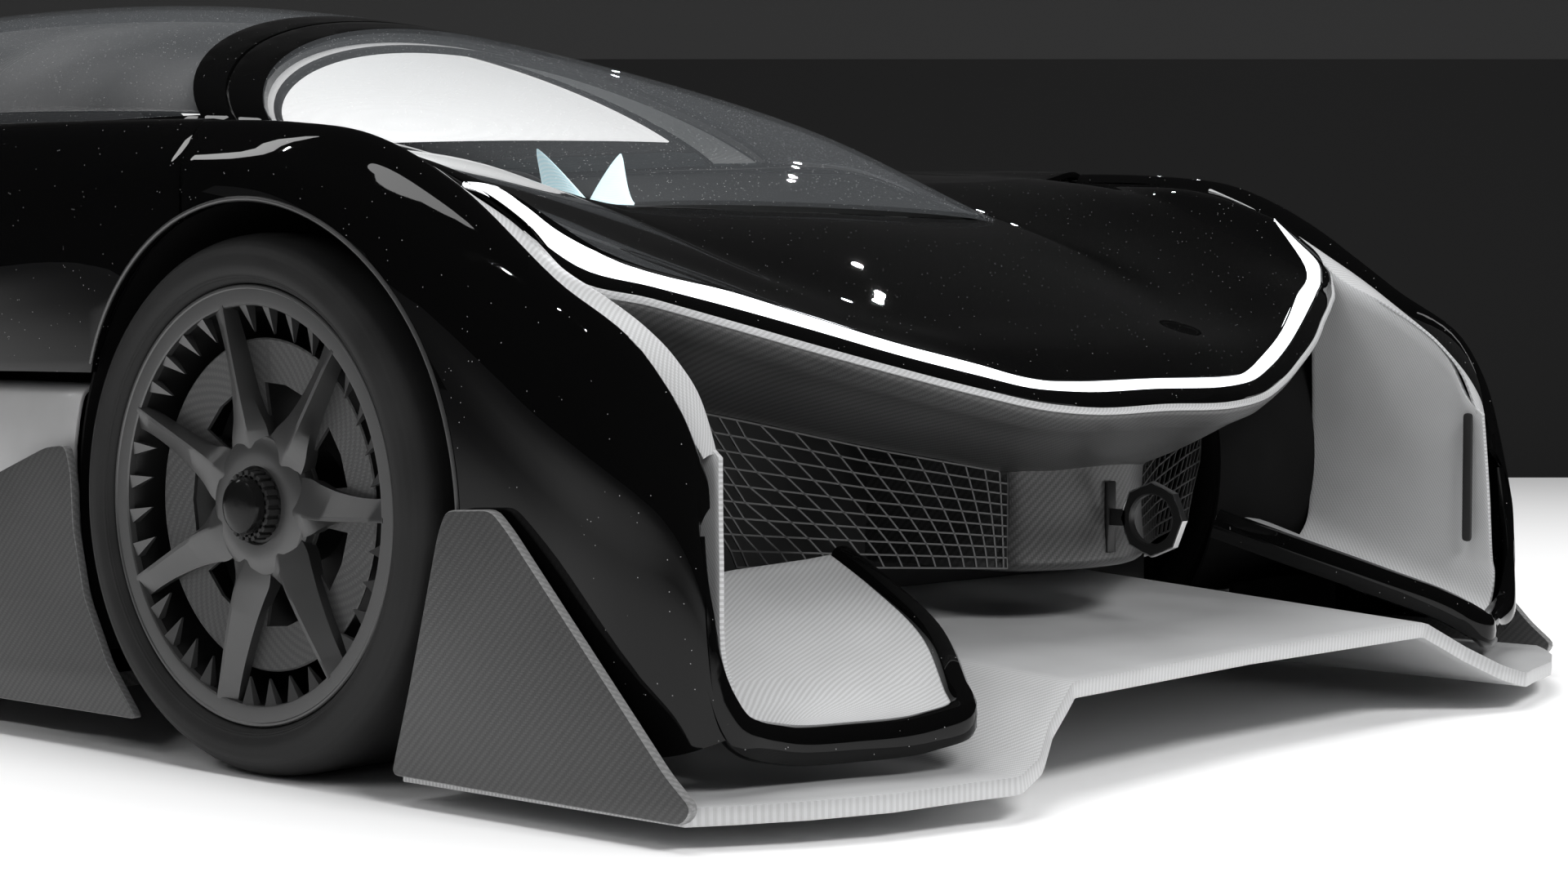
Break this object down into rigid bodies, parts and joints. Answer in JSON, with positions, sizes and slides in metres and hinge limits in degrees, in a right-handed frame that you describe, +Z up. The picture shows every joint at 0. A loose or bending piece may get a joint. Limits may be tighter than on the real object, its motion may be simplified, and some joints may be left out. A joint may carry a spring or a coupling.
{
  "type": "hypercar",
  "caption": "Low electric hypercar with a clear bubble canopy, open nose loops, flat splitter, wide slick tyres, rear fin and diffuser.",
  "frame": {"origin": "on the ground under the middle of the car's length and width", "axes": "+Z up, the car points along -Y, its left side is +X"},
  "size_m": [1.996, 4.6, 1.1521],
  "materials": {
    "gloss_black": "gloss clear coat with fine flake",
    "silver_carbon": "satin lacquered silver twill",
    "dark_carbon": "lacquered dark twill",
    "silver_body": "satin metallic",
    "satin_black": "satin moulded",
    "clear_glass": "polished, faintly smoked",
    "lamp_white": "white diffuser, emissive",
    "lamp_red": "red diffuser, emissive",
    "wheel_metal": "satin graphite forged",
    "tyre_rubber": "slick with ringed sidewalls",
    "alloy": "machined satin",
    "casing": "cast satin",
    "hook_metal": "dark with bright edge",
    "interior": "pale woven lining",
    "interior_fabric": "pale knit over padding",
    "interior_grip": "wrapped grip"
  },
  "bodies": {
    "chassis": {"battery_pack": "casing", "dashboard": "interior", "diffuser": "dark_carbon", "dorsal_fin": "gloss_black", "floor_tray": "dark_carbon", "front_fender_left": "gloss_black", "front_fender_right": "gloss_black", "front_grilles": "satin_black", "hood": "gloss_black", "inner_panel_left": "silver_carbon", "inner_panel_right": "silver_carbon", "light_strip": "lamp_white", "nose_keel": "dark_carbon", "nose_lip": "gloss_black", "rear_deck": "gloss_black", "rear_fascia": "satin_black", "rear_glass": "clear_glass", "rear_hoop": "gloss_black", "rear_motor": "casing", "rear_quarter_left": "gloss_black", "rear_quarter_right": "gloss_black", "rear_subframe": "alloy", "rear_uprights": "alloy", "seat": "interior_fabric", "side_sill_left": "silver_body", "side_sill_right": "silver_body", "side_skirts": "dark_carbon", "splitter": "silver_carbon", "suspension_arms": "alloy", "tail_lamp": "lamp_red", "tow_hook": "hook_metal", "tub": "dark_carbon", "wheel_housings": "satin_black", "windscreen": "clear_glass", "windscreen_hoop": "gloss_black"},
    "canopy": {"canopy_glass": "clear_glass", "canopy_frame": "gloss_black"},
    "steering": {"steering_wheel": "interior_grip"},
    "knuckle_left": {"knuckle_left": "alloy"},
    "knuckle_right": {"knuckle_right": "alloy"},
    "wheel_front_left": {"tyre_front_left": "tyre_rubber", "rim_front_left": "wheel_metal"},
    "wheel_front_right": {"tyre_front_right": "tyre_rubber", "rim_front_right": "wheel_metal"},
    "wheel_rear_left": {"tyre_rear_left": "tyre_rubber", "rim_rear_left": "wheel_metal"},
    "wheel_rear_right": {"tyre_rear_right": "tyre_rubber", "rim_rear_right": "wheel_metal"}
  },
  "joints": [
    {"name": "canopy_hinge", "type": "hinge", "parent": "chassis", "child": "canopy", "pos_m": [0, 0.653, 1.138], "axis": [-1, 0, 0], "range_deg": [0, 50]},
    {"name": "steering_wheel_turn", "type": "hinge", "parent": "chassis", "child": "steering", "pos_m": [0, -0.757, 0.7], "axis": [0, 0.9397, 0.342], "range_deg": [-130, 130]},
    {"name": "steer_right", "type": "hinge", "parent": "chassis", "child": "knuckle_right", "pos_m": [-0.8, -1.397, 0.335], "axis": [0, 0, 1], "range_deg": [-16, 16]},
    {"name": "steer_left", "type": "hinge", "parent": "chassis", "child": "knuckle_left", "pos_m": [0.8, -1.397, 0.335], "axis": [0, 0, 1], "range_deg": [-16, 16]},
    {"name": "front_left_spin", "type": "hinge", "parent": "knuckle_left", "child": "wheel_front_left", "pos_m": [0.848, -1.397, 0.335], "axis": [1, 0, 0], "continuous": true},
    {"name": "front_right_spin", "type": "hinge", "parent": "knuckle_right", "child": "wheel_front_right", "pos_m": [-0.848, -1.397, 0.335], "axis": [1, 0, 0], "continuous": true},
    {"name": "rear_left_spin", "type": "hinge", "parent": "chassis", "child": "wheel_rear_left", "pos_m": [0.8205, 1.353, 0.355], "axis": [1, 0, 0], "continuous": true},
    {"name": "rear_right_spin", "type": "hinge", "parent": "chassis", "child": "wheel_rear_right", "pos_m": [-0.8205, 1.353, 0.355], "axis": [1, 0, 0], "continuous": true}
  ],
  "couplings": [
    {"joint": "steer_left", "follows": "steer_right", "ratio": 1},
    {"joint": "steering_wheel_turn", "follows": "steer_right", "ratio": 8}
  ]
}
